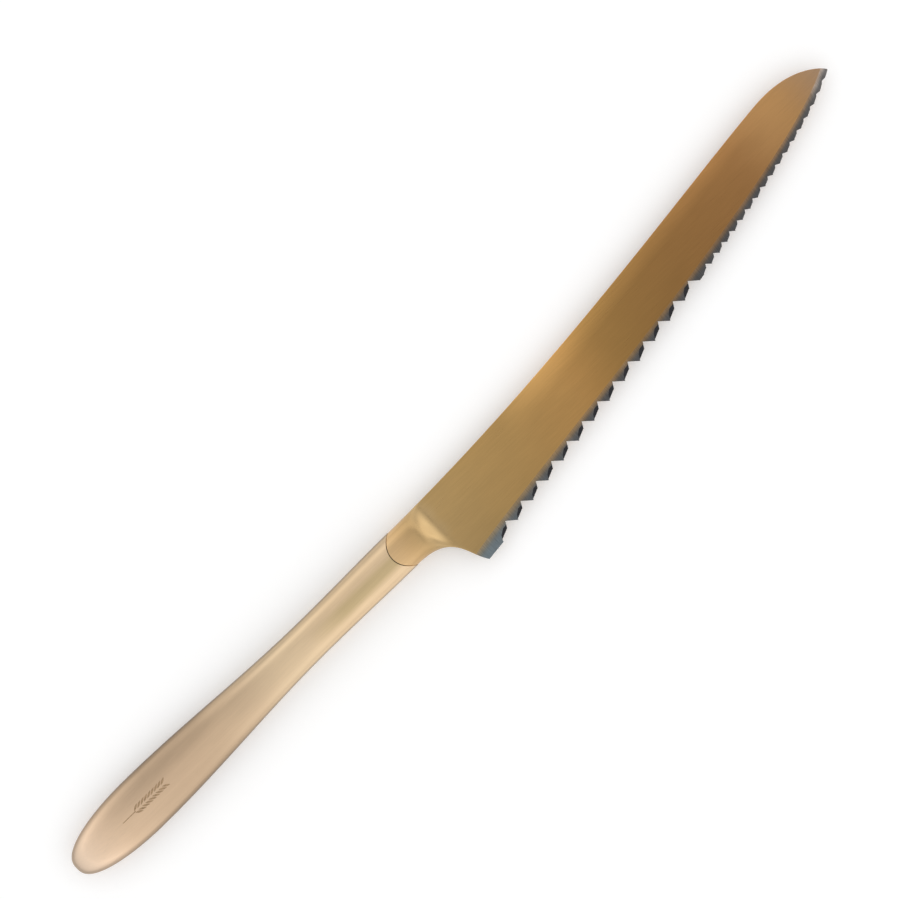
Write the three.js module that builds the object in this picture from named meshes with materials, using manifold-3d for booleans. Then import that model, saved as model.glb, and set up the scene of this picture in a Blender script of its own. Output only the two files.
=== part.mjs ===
// Bread knife with a hollow handle: a forged blade with bolster and tang, two half shells that make
// the handle, and the cement that fills it. Lengths are in millimetres.
// The handle lies along X with its butt end at X = 0 and the point of the blade towards +X, the
// spine is towards +Y, and the side that carries the ground serrations faces +Z.

import * as THREE from 'three';
import { mergeVertices } from 'three/addons/utils/BufferGeometryUtils.js';
import Module from 'manifold-3d';

const wasm = await Module();
wasm.setup();

// ---- Driving dimensions ----

// handle
const HANDLE_LENGTH = 137.6;
const BUTT_WIDTH = 18.1;
const BUTT_THICKNESS = 8.2;
const BUTT_WIDEST_AT = 28;
const BUTT_FULLNESS = 2.6;
const NECK_WIDTH = 12.5;
const NECK_THICKNESS = 9.2;
const NECK_AT = 101;
const MOUTH_WIDTH = 13.3;
const MOUTH_THICKNESS = 9.8;
const SECTION_SQUARENESS = 2.4;
const SHELL_WALL = 0.9;
const FIT_GAP = 0.3;

// bolster and tang
const NOSE_DEPTH = 4.4;
const NOSE_BLUNTNESS = 0.3;
const BOLSTER_LENGTH = 13;
const BOLSTER_HOLLOW = 1.7;
const BOLSTER_OVERHANG = 0.1;
const TANG_LENGTH = 62;
const TANG_WIDTH = 7;
const TANG_END_WIDTH = 5;
const TANG_THICKNESS = 3.6;
const TANG_HOLE = 3;
const TANG_HOLE_FROM_END = 12;

// blade
const BLADE_LENGTH = 192.1;
const BLADE_THICKNESS = 2;
const SPINE_RISE = 14.5;
const TIP_HEIGHT = 13.5;
const TIP_ROUND_LENGTH = 22.7;
const HEEL_SETBACK = 16.2;
const HEEL_DROP = 20.5;

// pulls of the outline's curves at each end, as shares of the curve's run and rise
const SPINE_PULL = { start: [0.42, 0], end: [0.19, 0.2] };
const TIP_PULL = { start: [0.6, -0.13], end: [0.12, 0.42] };
const EDGE_PULL = { start: [0.17, 0.165], end: [0.14, 0.46] };
const CHOIL_PULL = { start: [0.24, 0.42], end: [0.85, 0.01] };

// cutting edge
const HEEL_LAND = 6.7;
const HEEL_LAND_RISE = 0.7;
const HEEL_RAMP = 4.7;
const LARGE_TEETH = 13;
const LARGE_TOOTH_PITCH = 7.47;
const LARGE_TOOTH_DEPTH = 3;
const FINE_TOOTH_PITCH = 3.97;
const FINE_TOOTH_DEPTH = 1.7;
const LAST_TOOTH_DEPTH = 0.7;
const LAST_TOOTH_TO_TIP = 3.8;
const POINT_AT = 0.4;
const SHOULDER_AT = 0.84;
const SHOULDER_RISE = 0.32;
const EDGE_THICKNESS = 0.5;
const BEVEL_AT_HEEL = 4.6;
const BEVEL_AT_TIP = 2.9;

// engraved ear of wheat, shallow, in the flat of the butt
const EAR_LENGTH = 12.6;
const EAR_AT = 29;
const EAR_DEPTH = 0.25;
const EAR_GRAINS = 9;
const STEM_LENGTH = 5.4;
const GRAIN_LENGTH = 2.6;
const GRAIN_WIDTH = 0.8;
const GRAIN_LEAN = 0.5;

// faceting
const SIDES = 36;
const RINGS = 40;
const CURVE_STEPS = 24;

const CHAMPAGNE = 0xc9a987;
const GOLD = 0xa57f45;
const CEMENT = 0x8d8a84;

// ---- Solids ----

function toSolid(geometry) {
  const bare = geometry.clone();
  bare.deleteAttribute('normal');
  bare.deleteAttribute('uv');
  const merged = mergeVertices(bare, 1e-5);
  return new wasm.Manifold(new wasm.Mesh({
    numProp: 3,
    vertProperties: new Float32Array(merged.attributes.position.array),
    triVerts: new Uint32Array(merged.index.array),
  }));
}

function toMesh(solid, name, material) {
  const result = solid.getMesh();
  const geometry = new THREE.BufferGeometry();
  geometry.setAttribute('position', new THREE.BufferAttribute(result.vertProperties, 3));
  geometry.setIndex(new THREE.BufferAttribute(result.triVerts, 1));
  geometry.computeVertexNormals();
  const mesh = new THREE.Mesh(geometry, material);
  mesh.name = name;
  return mesh;
}

function cutAll(solid, tools) {
  return tools.reduce((left, tool) => left.subtract(tool), solid);
}

// ---- Small helpers for outlines ----

function mix(a, b, share) {
  return a + (b - a) * share;
}

function ease(share) {
  return (1 - Math.cos(Math.PI * share)) / 2;
}

function slab(shape, bottom, top) {
  const geometry = new THREE.ExtrudeGeometry(shape, {
    depth: top - bottom,
    bevelEnabled: false,
    curveSegments: CURVE_STEPS,
  });
  geometry.translate(0, 0, bottom);
  return toSolid(geometry);
}

// Height of a curve that runs from left to right, at a given X.
function heightOn(curve, x) {
  let low = 0;
  let high = 1;
  for (let step = 0; step < 40; step += 1) {
    const middle = (low + high) / 2;
    if (curve.getPoint(middle).x < x) {
      low = middle;
    } else {
      high = middle;
    }
  }
  return curve.getPoint(low).y;
}

// ---- Handle ----

// Half of a size of the handle at X: rounded at the butt, eased to the neck and to the mouth.
function handleHalf(x, butt, neck, mouth, inset) {
  if (x < BUTT_WIDEST_AT) {
    const share = Math.max(0, (x - inset) / (BUTT_WIDEST_AT - inset));
    return (butt / 2 - inset) * Math.pow(1 - (1 - share) ** 2, 1 / BUTT_FULLNESS);
  }
  if (x < NECK_AT) {
    return mix(butt / 2, neck / 2, ease((x - BUTT_WIDEST_AT) / (NECK_AT - BUTT_WIDEST_AT))) - inset;
  }
  const share = Math.min(1, (x - NECK_AT) / (HANDLE_LENGTH - NECK_AT));
  return mix(neck / 2, mouth / 2, ease(share)) - inset;
}

function handleHalfWidth(x, inset) {
  return handleHalf(x, BUTT_WIDTH, NECK_WIDTH, MOUTH_WIDTH, inset);
}

function handleHalfThickness(x, inset) {
  return handleHalf(x, BUTT_THICKNESS, NECK_THICKNESS, MOUTH_THICKNESS, inset);
}

// One coordinate of a rounded-square section of unit size.
function rounded(value) {
  return Math.sign(value) * Math.pow(Math.abs(value), 2 / SECTION_SQUARENESS);
}

// A unit sphere with its poles on X, drawn out so that each ring takes the section asked for there.
function drawnForm(sides, rings, stationAt, halfWidthAt, halfThicknessAt) {
  const geometry = new THREE.SphereGeometry(1, sides, rings);
  geometry.rotateZ(Math.PI / 2);
  const position = geometry.attributes.position;
  for (let i = 0; i < position.count; i += 1) {
    const along = 1 - Math.acos(THREE.MathUtils.clamp(position.getX(i), -1, 1)) / Math.PI;
    const around = Math.atan2(position.getZ(i), position.getY(i));
    const reach = Math.hypot(position.getY(i), position.getZ(i)) < 1e-6 ? 0 : 1;
    const x = stationAt(along);
    const y = reach * halfWidthAt(x) * rounded(Math.cos(around));
    const z = reach * halfThicknessAt(x) * rounded(Math.sin(around));
    position.setXYZ(i, x, Math.abs(y) < 1e-9 ? 0 : y, Math.abs(z) < 1e-9 ? 0 : z);
  }
  return toSolid(geometry);
}

// The handle's form, inset from its outside, from the butt to a plane past the mouth.
function handleForm(inset, end, sides, rings) {
  const stationAt = (along) => mix(inset, end, Math.pow(along, 1.5));
  const width = (x) => handleHalfWidth(x, inset);
  const thickness = (x) => handleHalfThickness(x, inset);
  return drawnForm(sides, rings, stationAt, width, thickness);
}

// Plan of everything on the butt side of the bolster's rounded nose.
function behindNose(setback) {
  const half = MOUTH_WIDTH;
  const mouth = HANDLE_LENGTH - setback;
  const nose = mouth - NOSE_DEPTH;
  const shape = new THREE.Shape();
  shape.moveTo(-half, -half);
  shape.lineTo(mouth + NOSE_DEPTH, -half);
  shape.lineTo(mouth, -MOUTH_WIDTH / 2);
  shape.quadraticCurveTo(nose, -MOUTH_WIDTH * NOSE_BLUNTNESS, nose, 0);
  shape.quadraticCurveTo(nose, MOUTH_WIDTH * NOSE_BLUNTNESS, mouth, MOUTH_WIDTH / 2);
  shape.lineTo(mouth + NOSE_DEPTH, half);
  shape.lineTo(-half, half);
  return slab(shape, -MOUTH_THICKNESS, MOUTH_THICKNESS);
}

// The half space on one side of the weld seam, as a block.
function halfSpace(side) {
  const size = HANDLE_LENGTH * 2;
  const block = new THREE.BoxGeometry(size, BUTT_WIDTH * 2, MOUTH_THICKNESS);
  block.translate(size / 4, 0, side * (MOUTH_THICKNESS / 2 + FIT_GAP / 2));
  return toSolid(block);
}

// Surface height of the handle's seen side on its centreline.
function crownAt(x) {
  return handleHalfThickness(x, 0);
}

// One grain of the engraved ear: a pointed oval, leaning away from the stem.
function grainShape() {
  const half = GRAIN_LENGTH / 2;
  const shape = new THREE.Shape();
  shape.moveTo(-half, 0);
  shape.quadraticCurveTo(0, GRAIN_WIDTH, half, 0);
  shape.quadraticCurveTo(0, -GRAIN_WIDTH, -half, 0);
  return shape;
}

function engravedEar() {
  const floor = crownAt(EAR_AT) - EAR_DEPTH;
  const top = crownAt(EAR_AT) + 1;
  const cut = { depth: top - floor, bevelEnabled: false, curveSegments: 4 };
  const tools = [];
  const start = EAR_AT - (STEM_LENGTH + EAR_LENGTH) / 2;
  const stem = new THREE.BoxGeometry(STEM_LENGTH, GRAIN_WIDTH / 2, top - floor);
  stem.translate(start + STEM_LENGTH / 2, 0, (top + floor) / 2);
  tools.push(toSolid(stem));
  const pitch = EAR_LENGTH / EAR_GRAINS;
  for (let row = 0; row < EAR_GRAINS; row += 1) {
    for (const side of [-1, 1]) {
      const grain = new THREE.ExtrudeGeometry(grainShape(), cut);
      grain.rotateZ(side * GRAIN_LEAN);
      grain.translate(start + STEM_LENGTH + (row + 0.5) * pitch, side * GRAIN_WIDTH, floor);
      tools.push(toSolid(grain));
    }
  }
  return tools;
}

function handleShell(side) {
  const outside = handleForm(0, HANDLE_LENGTH + NOSE_DEPTH, SIDES, RINGS);
  const inside = handleForm(SHELL_WALL, HANDLE_LENGTH + NOSE_DEPTH * 2, SIDES - 8, RINGS - 12);
  return outside
    .subtract(inside)
    .intersect(behindNose(0))
    .intersect(halfSpace(side));
}

function handleFilling() {
  const end = HANDLE_LENGTH - NOSE_DEPTH - FIT_GAP;
  const core = handleForm(SHELL_WALL + FIT_GAP, end, SIDES - 8, RINGS - 12);
  return core.subtract(tang(FIT_GAP));
}

// ---- Bolster and tang ----

// The tang, or with a clearance the slot that the cement leaves round it.
function tang(clearance) {
  const nose = HANDLE_LENGTH - NOSE_DEPTH;
  const root = nose + NOSE_DEPTH;
  const end = nose - TANG_LENGTH - clearance;
  const rootHalf = TANG_WIDTH / 2 + clearance;
  const endHalf = TANG_END_WIDTH / 2 + clearance;
  const shape = new THREE.Shape();
  shape.moveTo(root, -rootHalf);
  shape.lineTo(root, rootHalf);
  shape.lineTo(end + endHalf, endHalf);
  shape.absarc(end + endHalf, 0, endHalf, Math.PI / 2, (Math.PI * 3) / 2, false);
  shape.lineTo(root, -rootHalf);
  const half = TANG_THICKNESS / 2 + clearance;
  const body = slab(shape, -half, half);
  const peg = new THREE.CylinderGeometry(
    TANG_HOLE / 2 - clearance,
    TANG_HOLE / 2 - clearance,
    TANG_THICKNESS * 2,
    16,
  );
  peg.rotateX(Math.PI / 2);
  peg.translate(nose - TANG_LENGTH + TANG_HOLE_FROM_END, 0, 0);
  return body.subtract(toSolid(peg));
}

// The bolster: the handle's section at the mouth, sinking in a hollow sweep to the blade's flats.
function bolster() {
  const start = HANDLE_LENGTH - NOSE_DEPTH - 1;
  const mouth = HANDLE_LENGTH;
  const end = mouth + BOLSTER_LENGTH;
  const stationAt = (along) => mix(start, end, along);
  const width = () => MOUTH_WIDTH / 2;
  const thickness = (x) => {
    const share = THREE.MathUtils.clamp((x - mouth) / (end - mouth), 0, 1);
    const sunk = 1 - Math.pow(1 - share, BOLSTER_HOLLOW);
    return mix(MOUTH_THICKNESS / 2, BLADE_THICKNESS / 2 - BOLSTER_OVERHANG, sunk);
  };
  const form = drawnForm(SIDES, 20, stationAt, width, thickness);
  return form.subtract(behindNose(-FIT_GAP));
}

// ---- Blade outline ----

const bladeRoot = HANDLE_LENGTH;
const tip = new THREE.Vector2(bladeRoot + BLADE_LENGTH, TIP_HEIGHT);
const spineRoot = new THREE.Vector2(bladeRoot, MOUTH_WIDTH / 2 - BOLSTER_OVERHANG);
const spineEnd = new THREE.Vector2(tip.x - TIP_ROUND_LENGTH, spineRoot.y + SPINE_RISE);
const heel = new THREE.Vector2(bladeRoot + HEEL_SETBACK, -HEEL_DROP);
const choilEnd = new THREE.Vector2(bladeRoot, BOLSTER_OVERHANG - MOUTH_WIDTH / 2);

// A curve between two points, each end pulled along by shares of the run and the rise.
function pulledCurve(from, to, pull) {
  const run = to.x - from.x;
  const rise = to.y - from.y;
  return new THREE.CubicBezierCurve(
    from,
    new THREE.Vector2(from.x + run * pull.start[0], from.y + rise * pull.start[1]),
    new THREE.Vector2(to.x - run * pull.end[0], to.y - rise * pull.end[1]),
    to,
  );
}

// The line that the points of the teeth lie on.
const edge = pulledCurve(heel, tip, EDGE_PULL);

// Each tooth in turn from the heel: where its gullet is, how long it is and how deep it is cut.
function toothRow() {
  const first = heel.x + HEEL_LAND + HEEL_RAMP;
  const last = tip.x - LAST_TOOTH_TO_TIP;
  const change = first + LARGE_TEETH * LARGE_TOOTH_PITCH;
  const fineTeeth = Math.round((last - change) / FINE_TOOTH_PITCH);
  const finePitch = (last - change) / fineTeeth;
  const row = [];
  for (let i = 0; i < LARGE_TEETH; i += 1) {
    const at = first + i * LARGE_TOOTH_PITCH;
    row.push({ at, pitch: LARGE_TOOTH_PITCH, depth: LARGE_TOOTH_DEPTH });
  }
  for (let i = 0; i < fineTeeth; i += 1) {
    const depth = mix(FINE_TOOTH_DEPTH, LAST_TOOTH_DEPTH, i / fineTeeth);
    row.push({ at: change + i * finePitch, pitch: finePitch, depth });
  }
  row.push({ at: last, pitch: 0, depth: LAST_TOOTH_DEPTH });
  return row;
}

const teeth = toothRow();

function onEdge(x, above) {
  return new THREE.Vector2(x, heightOn(edge, x) + above);
}

// The three corners of a tooth: the gullet before it, its point, and the shoulder behind the point.
function toothCorners(tooth) {
  return {
    gullet: onEdge(tooth.at, tooth.depth),
    point: onEdge(tooth.at + tooth.pitch * POINT_AT, 0),
    shoulder: onEdge(tooth.at + tooth.pitch * SHOULDER_AT, tooth.depth * SHOULDER_RISE),
  };
}

function bladeOutline() {
  const shape = new THREE.Shape();
  const spine = pulledCurve(spineRoot, spineEnd, SPINE_PULL).getPoints(CURVE_STEPS);
  const nose = pulledCurve(spineEnd, tip, TIP_PULL).getPoints(CURVE_STEPS / 2);
  const choil = pulledCurve(heel, choilEnd, CHOIL_PULL).getPoints(CURVE_STEPS / 2);
  shape.setFromPoints([...spine, ...nose.slice(1)]);
  for (const tooth of [...teeth].reverse()) {
    const { gullet, point, shoulder } = toothCorners(tooth);
    if (tooth.pitch > 0) {
      shape.lineTo(shoulder.x, shoulder.y);
      shape.lineTo(point.x, point.y);
    }
    shape.lineTo(gullet.x, gullet.y);
  }
  shape.lineTo(heel.x + HEEL_LAND, heel.y + HEEL_LAND_RISE);
  for (const point of choil) {
    shape.lineTo(point.x, point.y);
  }
  return shape;
}

// ---- Grinding ----

// How far up from the edge the ground bevel reaches at X.
function bevelHeight(x) {
  return mix(BEVEL_AT_HEEL, BEVEL_AT_TIP, (x - heel.x) / (tip.x - heel.x));
}

// Height of the ground bevel's surface at a point of the blade's plan.
function bevelSurface(x, y) {
  const up = (y - heightOn(edge, x)) / bevelHeight(x);
  return mix(EDGE_THICKNESS - BLADE_THICKNESS / 2, BLADE_THICKNESS / 2, up);
}

// A long box bent along the edge whose underside is the bevel.
function bevelCutter() {
  const overrun = 2;
  const overrunSlope = 0.2;
  const above = 1.2;
  const below = 0.4;
  const geometry = new THREE.BoxGeometry(1, 1, 1, CURVE_STEPS * 2, 1, 1);
  const position = geometry.attributes.position;
  for (let i = 0; i < position.count; i += 1) {
    const x = mix(heel.x - HEEL_SETBACK / 2, tip.x + overrun, position.getX(i) + 0.5);
    const onBlade = THREE.MathUtils.clamp(x, heel.x, tip.x);
    const base = heightOn(edge, onBlade) + (x - onBlade) * overrunSlope;
    const reach = bevelHeight(onBlade);
    const upper = position.getY(i) > 0;
    const outer = position.getZ(i) > 0;
    const y = base + reach * (upper ? above : -below);
    const ground = bevelSurface(onBlade, y - base + heightOn(edge, onBlade));
    position.setXYZ(i, x, y, outer ? BLADE_THICKNESS * 2 : ground);
  }
  return toSolid(geometry);
}

// The scallop behind a tooth's point: a wedge under a slanting plane through the point, the next
// gullet and the shoulder on the far face.
function scallopCutter(tooth, next) {
  const past = 0.5;
  const lip = 0.1;
  const { point, shoulder } = toothCorners(tooth);
  const gullet = toothCorners(next).gullet;
  const chord = gullet.clone().sub(point).normalize();
  const outward = new THREE.Vector2(chord.y, -chord.x);
  const reach = shoulder.clone().sub(point).dot(outward);
  const corner = shoulder.clone().addScaledVector(outward, reach * past);
  const near = bevelSurface(point.x, point.y);
  const high = bevelSurface(gullet.x, gullet.y);
  const middle = mix(near, high, shoulder.clone().sub(point).dot(chord) / gullet.distanceTo(point));
  const low = mix(middle, lip - BLADE_THICKNESS / 2, 1 + past);
  const plan = [point, corner, gullet];
  const heights = [near, low, high];
  const geometry = new THREE.ExtrudeGeometry(new THREE.Shape(plan), {
    depth: BLADE_THICKNESS * 3,
    bevelEnabled: false,
  });
  const position = geometry.attributes.position;
  for (let i = 0; i < position.count; i += 1) {
    if (position.getZ(i) < BLADE_THICKNESS) {
      const here = new THREE.Vector2(position.getX(i), position.getY(i));
      const which = plan.findIndex((spot) => spot.distanceTo(here) < 1e-3);
      position.setZ(i, heights[which]);
    }
  }
  return toSolid(geometry);
}

function blade() {
  const half = BLADE_THICKNESS / 2;
  const scallops = teeth.slice(0, -1).map((tooth, i) => scallopCutter(tooth, teeth[i + 1]));
  const plate = cutAll(slab(bladeOutline(), -half, half), [bevelCutter(), ...scallops]);
  return plate.add(bolster()).add(tang(0));
}

// ---- The knife ----

const champagne = new THREE.MeshStandardMaterial({
  color: CHAMPAGNE,
  metalness: 1,
  roughness: 0.38,
});
const gold = new THREE.MeshStandardMaterial({ color: GOLD, metalness: 1, roughness: 0.42 });
const cement = new THREE.MeshStandardMaterial({ color: CEMENT, metalness: 0, roughness: 0.9 });

const knife = new THREE.Group();
knife.add(toMesh(blade(), 'blade', gold));
knife.add(toMesh(cutAll(handleShell(1), engravedEar()), 'handle_shell_right', champagne));
knife.add(toMesh(handleShell(-1), 'handle_shell_left', champagne));
knife.add(toMesh(handleFilling(), 'handle_filling', cement));

// The knife stands in its frame with the middle of its underside at the origin.
const bounds = new THREE.Box3().setFromObject(knife);
const middle = bounds.getCenter(new THREE.Vector3());
knife.position.set(-middle.x, -middle.y, -bounds.min.z);

export default knife;
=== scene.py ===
import math

import bmesh
import bpy
from mathutils import Matrix, Vector


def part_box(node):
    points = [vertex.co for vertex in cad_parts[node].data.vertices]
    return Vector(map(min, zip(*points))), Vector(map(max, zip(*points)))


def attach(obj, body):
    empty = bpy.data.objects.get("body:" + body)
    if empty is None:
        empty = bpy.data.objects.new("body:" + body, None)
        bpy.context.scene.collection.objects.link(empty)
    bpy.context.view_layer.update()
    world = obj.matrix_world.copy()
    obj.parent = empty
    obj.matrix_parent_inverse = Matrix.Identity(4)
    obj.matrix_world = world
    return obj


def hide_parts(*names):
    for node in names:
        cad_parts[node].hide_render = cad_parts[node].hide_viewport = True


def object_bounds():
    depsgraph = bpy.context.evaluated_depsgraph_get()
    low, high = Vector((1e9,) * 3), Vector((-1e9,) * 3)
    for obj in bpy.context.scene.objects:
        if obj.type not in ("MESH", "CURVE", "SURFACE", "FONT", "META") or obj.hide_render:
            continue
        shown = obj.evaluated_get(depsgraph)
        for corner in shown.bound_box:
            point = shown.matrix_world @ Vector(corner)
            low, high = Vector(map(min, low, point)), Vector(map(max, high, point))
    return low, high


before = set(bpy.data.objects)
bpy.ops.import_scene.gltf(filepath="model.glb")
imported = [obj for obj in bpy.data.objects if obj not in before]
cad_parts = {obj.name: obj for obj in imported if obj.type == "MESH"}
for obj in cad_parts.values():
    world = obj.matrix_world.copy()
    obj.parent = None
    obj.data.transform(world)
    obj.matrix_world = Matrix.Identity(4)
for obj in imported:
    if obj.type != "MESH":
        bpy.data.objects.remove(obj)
cad_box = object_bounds()

# ---- Sizes, in millimetres, and places taken from the frame ----

MM = 0.001

shell_low, shell_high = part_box("handle_shell_right")
blade_low, blade_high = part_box("blade")

# handle
HANDLE_LENGTH = 137.6
BUTT_WIDTH = (shell_high.y - shell_low.y) / MM
BUTT_THICKNESS = 8.2
BUTT_WIDEST_AT = 28
BUTT_FULLNESS = 2.6
BUTT_START = 0.08
HANDLE_SIDES = 72
HANDLE_STEPS = 84
BUTT_CROWDING = 1.9
NECK_WIDTH = 12.5
NECK_THICKNESS = 9.2
NECK_AT = 101
MOUTH_WIDTH = 13.3
MOUTH_THICKNESS = (cad_box[1].z - cad_box[0].z) / MM
SHELL_WALL = 0.9
WELD_GAP = 0.06
RIM_ROUNDING = 0.12
RIM_ANGLE = 50
HANDLE_CREASE = 30
SECTION_SQUARENESS = 2.4

# bolster
NOSE_DEPTH = 4.4
NOSE_BLUNTNESS = 0.3
NOSE_GAP = 0.28
NOSE_STEPS = 14
BOLSTER_LENGTH = 13
BOLSTER_FLAT = 5.2
BOLSTER_CROWN = 8
BOLSTER_OVERHANG = 0.1
BOLSTER_BACK = 1.5

# tang
TANG_LENGTH = 62
TANG_WIDTH = 7
TANG_END_WIDTH = 5
TANG_THICKNESS = 3.6
TANG_HOLD = 2

# blade
BLADE_LENGTH = 192.1
BLADE_THICKNESS = 2
BLADE_SQUARENESS = 18
BLADE_SIDES = 64
SPINE_RISE = 14.5
TIP_HEIGHT = 13.5
TIP_ROUND_LENGTH = 22.7
HEEL_SETBACK = 16.2
HEEL_DROP = 20.5
# pulls of the outline at each end of a curve, as shares of the curve's run and rise
SPINE_PULL = ((0.42, 0), (0.19, 0.2))
TIP_PULL = ((0.6, -0.13), (0.12, 0.42))
EDGE_PULL = ((0.17, 0.165), (0.14, 0.46))
CHOIL_PULL = ((0.24, 0.42), (0.85, 0.01))
CHOIL_STEPS = 36
BLADE_STEPS = 56
TIP_STEPS = 20
CORNER = 0.05
TIP_BLUNTNESS = 0.15
BLADE_CREASE = 24

# cutting edge
HEEL_LAND = 6.7
HEEL_LAND_RISE = 0.7
HEEL_RAMP = 4.7
LARGE_TEETH = 13
LARGE_TOOTH_PITCH = 7.47
LARGE_TOOTH_DEPTH = 3
FINE_TOOTH_PITCH = 3.97
FINE_TOOTH_DEPTH = 1.7
LAST_TOOTH_DEPTH = 0.7
LAST_TOOTH_TO_TIP = 3.8
POINT_AT = 0.4
POINT_BLUNTING = 0.014
SHOULDER_AT = 0.84
SHOULDER_RISE = 0.32
SCALLOP_SLANT = (-0.19, 0.7)
NOTCH_RUN_OUT = 0.8
CUTTER_OVERRUN = 0.2
EDGE_THICKNESS = 0.3
BEVEL_AT_HEEL = 4.3
BEVEL_AT_TIP = 2.6
BEVEL_STEPS = 48
BEVEL_OVERRUN = 2
WHEEL_RISE = 0.2
WHEEL_ABOVE = 1.2
WHEEL_BELOW = 0.4

# engraved ear of wheat
EAR_LENGTH = 12.6
EAR_AT = 29
EAR_DEPTH = 0.16
EAR_GRAINS = 9
STEM_LENGTH = 5.4
GRAIN_LENGTH = 2.6
GRAIN_WIDTH = 0.62
GRAIN_LEAN = 0.5
GRAIN_OFFSET = 0.86
GRAIN_STEPS = 8
STEM_WIDTH = GRAIN_WIDTH * 0.4

# cleaning after the cuts: gaps and edges under these are closed or taken out
DOUBLES = 0.0001
SHORT_EDGE = 0.012
SLIVER = 0.002
SPARE_POINT = 0.005

BUTT_X = blade_high.x - (HANDLE_LENGTH + BLADE_LENGTH) * MM
CENTRE_Y = (shell_low.y + shell_high.y) / 2
MIDDLE_Z = (cad_box[0].z + cad_box[1].z) / 2


def spot(x, y, z):
    """A place given in millimetres from the butt, the centreline and the middle plane."""
    return Vector((BUTT_X + x * MM, CENTRE_Y + y * MM, MIDDLE_Z + z * MM))


# ---- Small helpers ----


def mix(a, b, share):
    return a + (b - a) * share


def clamp(value, low=0.0, high=1.0):
    return max(low, min(high, value))


def ease(share):
    return (1 - math.cos(math.pi * clamp(share))) / 2


def pulled_curve(start, end, pull):
    """Control points of a curve between two points, each end pulled by shares of run and rise."""
    run = end[0] - start[0]
    rise = end[1] - start[1]
    first = (start[0] + run * pull[0][0], start[1] + rise * pull[0][1])
    second = (end[0] - run * pull[1][0], end[1] - rise * pull[1][1])
    return start, first, second, end


def on_curve(curve, share):
    a, b, c, d = curve
    rest = 1 - share
    weights = (rest**3, 3 * rest**2 * share, 3 * rest * share**2, share**3)
    return tuple(sum(w * p[i] for w, p in zip(weights, (a, b, c, d))) for i in (0, 1))


def height_on(curve, x):
    """Height of a curve at a given X, for a curve that runs one way along X."""
    low, high = 0.0, 1.0
    rising = curve[3][0] > curve[0][0]
    for _ in range(40):
        middle = (low + high) / 2
        if (on_curve(curve, middle)[0] < x) == rising:
            low = middle
        else:
            high = middle
    return on_curve(curve, low)[1]


def deselect_everything():
    bpy.ops.object.select_all(action="DESELECT")


def only(piece):
    deselect_everything()
    piece.select_set(True)
    bpy.context.view_layer.objects.active = piece


def apply_modifiers(piece):
    only(piece)
    for modifier in list(piece.modifiers):
        bpy.ops.object.modifier_apply(modifier=modifier.name)


def cut(piece, tool, operation="DIFFERENCE"):
    """Cuts a piece with a tool, which is used up. Cut faces keep the tool's finish."""
    modifier = piece.modifiers.new("cut", "BOOLEAN")
    modifier.operation = operation
    modifier.solver = "EXACT"
    modifier.material_mode = "TRANSFER"
    modifier.object = tool
    apply_modifiers(piece)
    bpy.data.objects.remove(tool)


def join(pieces):
    """Joins pieces into the first."""
    deselect_everything()
    for piece in pieces:
        piece.select_set(True)
    bpy.context.view_layer.objects.active = pieces[0]
    bpy.ops.object.join()
    return pieces[0]


def fair(piece, gap=DOUBLES):
    """Merges points closer than a gap in millimetres, drops slivers and turns every face outwards."""
    only(piece)
    bpy.ops.object.mode_set(mode="EDIT")
    bpy.ops.mesh.select_all(action="SELECT")
    bpy.ops.mesh.remove_doubles(threshold=gap * MM)
    bpy.ops.mesh.dissolve_degenerate(threshold=gap * MM)
    bpy.ops.mesh.normals_make_consistent(inside=False)
    bpy.ops.object.mode_set(mode="OBJECT")


def off_the_line(vertex):
    """How far a point between two others stands off the line that joins them."""
    first, second = [edge.other_vert(vertex).co for edge in vertex.link_edges]
    return (vertex.co - first).cross(second - first).length / (second - first).length


def drop_spare_points(piece):
    """Takes out the points that the cuts leave along straight edges."""
    begin_edit(piece)
    mesh = bmesh.from_edit_mesh(piece.data)
    between = [vertex for vertex in mesh.verts if len(vertex.link_edges) == 2]
    pick(mesh, [vertex for vertex in between if off_the_line(vertex) < SPARE_POINT * MM])
    bpy.ops.mesh.dissolve_verts()
    end_edit()


def round_rims(piece):
    """Softens the sharp rims."""
    rims = piece.modifiers.new("rims", "BEVEL")
    rims.limit_method = "ANGLE"
    rims.angle_limit = math.radians(RIM_ANGLE)
    rims.width = RIM_ROUNDING * MM
    rims.segments = 2
    apply_modifiers(piece)


def smooth(piece, angle):
    """Smooths the rounded faces, keeps edges past the angle and between finishes, holds flats flat."""
    only(piece)
    bpy.ops.object.shade_smooth_by_angle(angle=math.radians(angle))
    begin_edit(piece)
    bpy.ops.mesh.select_mode(type="EDGE")
    bpy.ops.mesh.select_all(action="DESELECT")
    mesh = bmesh.from_edit_mesh(piece.data)
    for edge in mesh.edges:
        if len({face.material_index for face in edge.link_faces}) > 1:
            edge.select_set(True)
    bpy.ops.mesh.mark_sharp()
    end_edit()
    level = piece.modifiers.new("flats", "WEIGHTED_NORMAL")
    level.keep_sharp = True
    apply_modifiers(piece)


def hand_over(piece, node):
    """The finished piece stands for a node of the frame."""
    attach(piece, "root")
    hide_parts(node)


def apply_place(piece):
    """Puts the piece's place and size into its mesh."""
    only(piece)
    bpy.ops.object.transform_apply(location=True, rotation=True, scale=True)


def begin_edit(piece):
    only(piece)
    bpy.ops.object.mode_set(mode="EDIT")
    bpy.ops.mesh.select_mode(type="VERT")


def end_edit():
    bpy.ops.object.mode_set(mode="OBJECT")


def pick(mesh, chosen):
    """Selects these points and nothing else."""
    for vertex in mesh.verts:
        vertex.select = False
    mesh.select_flush_mode()
    for vertex in chosen:
        vertex.select = True
    mesh.select_flush_mode()


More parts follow.
